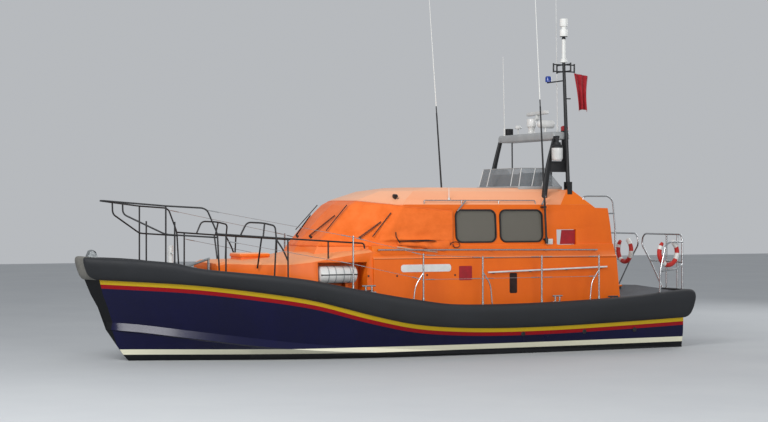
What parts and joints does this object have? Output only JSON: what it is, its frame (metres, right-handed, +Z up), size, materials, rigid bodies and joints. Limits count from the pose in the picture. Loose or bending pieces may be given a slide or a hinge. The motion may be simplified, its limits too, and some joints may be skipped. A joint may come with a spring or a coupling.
{
  "type": "lifeboat",
  "caption": "All-weather waterjet lifeboat with a navy hull, heavy rubber fender, orange enclosed wheelhouse, upper helm, radar arch and folding mast.",
  "frame": {"origin": "on the centreline at the waterline, amidships", "axes": "+X forward to the bow, +Y to port, +Z up"},
  "size_m": [13.5533, 4.5422, 8.7066],
  "materials": {
    "hull_paint": "gloss navy gelcoat with yellow, red and white bands",
    "deck_paint": "dark grey non-slip deck paint",
    "cabin_paint": "semi-gloss orange paint",
    "fender_rubber": "matt black rubber",
    "pad_rubber": "matt grey rubber",
    "raft_shell": "white glass-fibre canister",
    "window_glass": "dark tinted safety glass",
    "cover_fabric": "orange proofed canvas",
    "sole_floor": "grey ribbed flooring",
    "seat_covering": "black padded covering",
    "console_black": "textured black moulding",
    "arch_grey": "satin grey paint",
    "screen_tint": "grey tinted acrylic",
    "fitting_white": "white gloss moulding",
    "mast_black": "satin black paint",
    "flag_cloth": "red woven polyester",
    "rail_black": "black powder coat",
    "rail_steel": "polished stainless tube",
    "lifebuoy_cover": "red coated fabric with white bands",
    "galvanised_steel": "galvanised steel",
    "jet_alloy": "anodised cast alloy"
  },
  "bodies": {
    "boat": {"hull": "hull_paint", "deck": "deck_paint", "fender_port": "fender_rubber", "fender_starboard": "fender_rubber", "bow_pad": "pad_rubber", "liferaft_port": "raft_shell", "liferaft_starboard": "raft_shell", "foredeck_trunk": "cabin_paint", "cabin_side_port": "cabin_paint", "cabin_side_starboard": "cabin_paint", "cabin_front": "cabin_paint", "cabin_roof": "cabin_paint", "cabin_bulkhead": "cabin_paint", "window_aft_port": "window_glass", "window_fore_port": "window_glass", "window_aft_starboard": "window_glass", "window_fore_starboard": "window_glass", "windscreen_glass": "window_glass", "windscreen_cover": "cover_fabric", "cabin_sole": "sole_floor", "crew_seats": "seat_covering", "helm_console": "console_black", "upper_helm_coaming": "arch_grey", "upper_helm_screen": "screen_tint", "upper_helm_console": "console_black", "upper_helm_seats": "seat_covering", "radar_arch": "arch_grey", "radar_pedestal": "fitting_white", "mast_foot": "mast_black", "whip_port": "mast_black", "whip_starboard": "mast_black", "foredeck_rails": "rail_black", "rail_loop_port": "rail_black", "rail_loop_starboard": "rail_black", "guard_rail_port": "rail_steel", "stern_rail_port": "rail_steel", "aft_handrail_port": "rail_steel", "grab_rail_port": "rail_steel", "guard_rail_starboard": "rail_steel", "stern_rail_starboard": "rail_steel", "aft_handrail_starboard": "rail_steel", "grab_rail_starboard": "rail_steel", "lifebuoy_port": "lifebuoy_cover", "lifebuoy_starboard": "lifebuoy_cover", "samson_post": "fitting_white", "anchor": "galvanised_steel", "waterjet_housing_port": "jet_alloy", "waterjet_housing_starboard": "jet_alloy"},
    "door": {"aft_door": "cabin_paint"},
    "fore_hatch": {"foredeck_hatch_lid": "cabin_paint"},
    "aft_hatch": {"aft_hatch_lid": "cabin_paint"},
    "scanner": {"radar_scanner": "fitting_white"},
    "wheel": {"upper_helm_wheel": "console_black"},
    "mast": {"mast": "mast_black", "ensign": "flag_cloth"},
    "nozzle_port": {"steering_nozzle_port": "jet_alloy"},
    "nozzle_starboard": {"steering_nozzle_starboard": "jet_alloy"},
    "bucket_port": {"reverse_bucket_port": "jet_alloy"},
    "bucket_starboard": {"reverse_bucket_starboard": "jet_alloy"}
  },
  "joints": [
    {"name": "door_hinge", "type": "hinge", "parent": "boat", "child": "door", "pos_m": [-3.539, 0.395, 2.06], "axis": [0, 0, -1], "range_deg": [0, 100]},
    {"name": "fore_hatch_hinge", "type": "hinge", "parent": "boat", "child": "fore_hatch", "pos_m": [3.35, 0, 2.085], "axis": [0, 1, 0], "range_deg": [0, 95]},
    {"name": "aft_hatch_hinge", "type": "hinge", "parent": "boat", "child": "aft_hatch", "pos_m": [-5.28, 0, 1.295], "axis": [0, 1, 0], "range_deg": [0, 95]},
    {"name": "scanner_turn", "type": "hinge", "parent": "boat", "child": "scanner", "pos_m": [-3.93, 0, 5.2], "axis": [0, 0, 1], "continuous": true},
    {"name": "wheel_turn", "type": "hinge", "parent": "boat", "child": "wheel", "pos_m": [-3.345, 0.3, 3.77], "axis": [1, 0, 0], "continuous": true},
    {"name": "mast_fold", "type": "hinge", "parent": "boat", "child": "mast", "pos_m": [-3.925, 1.34, 3.62], "axis": [0, -1, 0], "range_deg": [0, 84]},
    {"name": "nozzle_steer_port", "type": "hinge", "parent": "boat", "child": "nozzle_port", "pos_m": [-6.432, 0.7, -0.18], "axis": [0, 0, 1], "range_deg": [-27, 27]},
    {"name": "bucket_turn_port", "type": "hinge", "parent": "boat", "child": "bucket_port", "pos_m": [-6.2, 0.7, -0.18], "axis": [0, -1, 0], "range_deg": [0, 65]},
    {"name": "nozzle_steer_starboard", "type": "hinge", "parent": "boat", "child": "nozzle_starboard", "pos_m": [-6.432, -0.7, -0.18], "axis": [0, 0, 1], "range_deg": [-27, 27]},
    {"name": "bucket_turn_starboard", "type": "hinge", "parent": "boat", "child": "bucket_starboard", "pos_m": [-6.2, -0.7, -0.18], "axis": [0, -1, 0], "range_deg": [0, 65]}
  ]
}
